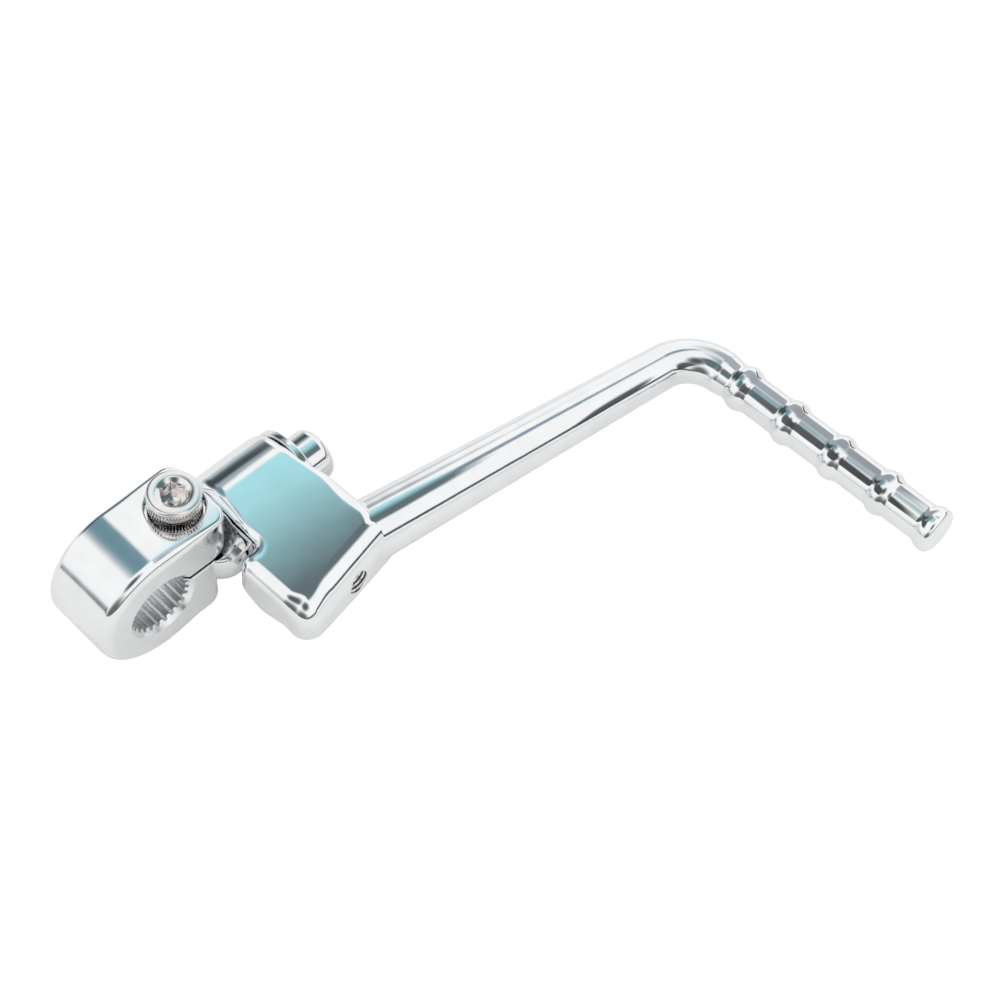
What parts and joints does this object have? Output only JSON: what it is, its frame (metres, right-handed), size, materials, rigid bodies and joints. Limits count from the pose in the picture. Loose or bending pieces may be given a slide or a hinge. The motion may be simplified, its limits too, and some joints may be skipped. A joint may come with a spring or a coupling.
{
  "type": "kick start lever",
  "caption": "Folding kick start lever with a splined pinch clamp, a pivoting forged arm and a ribbed foot peg.",
  "frame": {"origin": "middle of the splined bore, on its axis", "axes": "+X along the pivot post toward the arm, +Y along the bore toward the engine, so the foot peg points to -Y, and +Z along the pinch screw toward its head"},
  "size_m": [0.1734, 0.1299, 0.0404],
  "materials": {
    "polished_clamp": "mirror polished and plated forging, with as-forged grain in the pocket beside the slit",
    "stainless_screw": "bright stainless steel with a knurled rim",
    "polished_arm": "mirror polished and plated forging",
    "plated_screw": "bright plated, smooth head",
    "plated_washer": "bright plated, turned face",
    "hard_steel": "bright hardened steel",
    "dark_steel": "black oxide steel"
  },
  "bodies": {
    "clamp": {"clamp_boss": "polished_clamp", "pinch_screw": "stainless_screw", "pivot_screw": "plated_screw", "pivot_washer": "plated_washer"},
    "arm": {"kick_arm": "polished_arm", "detent_ball": "hard_steel", "detent_spring": "hard_steel", "detent_plug": "dark_steel"}
  },
  "joints": [
    {"name": "arm_fold", "type": "hinge", "parent": "clamp", "child": "arm", "pos_m": [0.0345, -0.0015, 0], "axis": [1, 0, 0], "range_deg": [0, 90]}
  ]
}
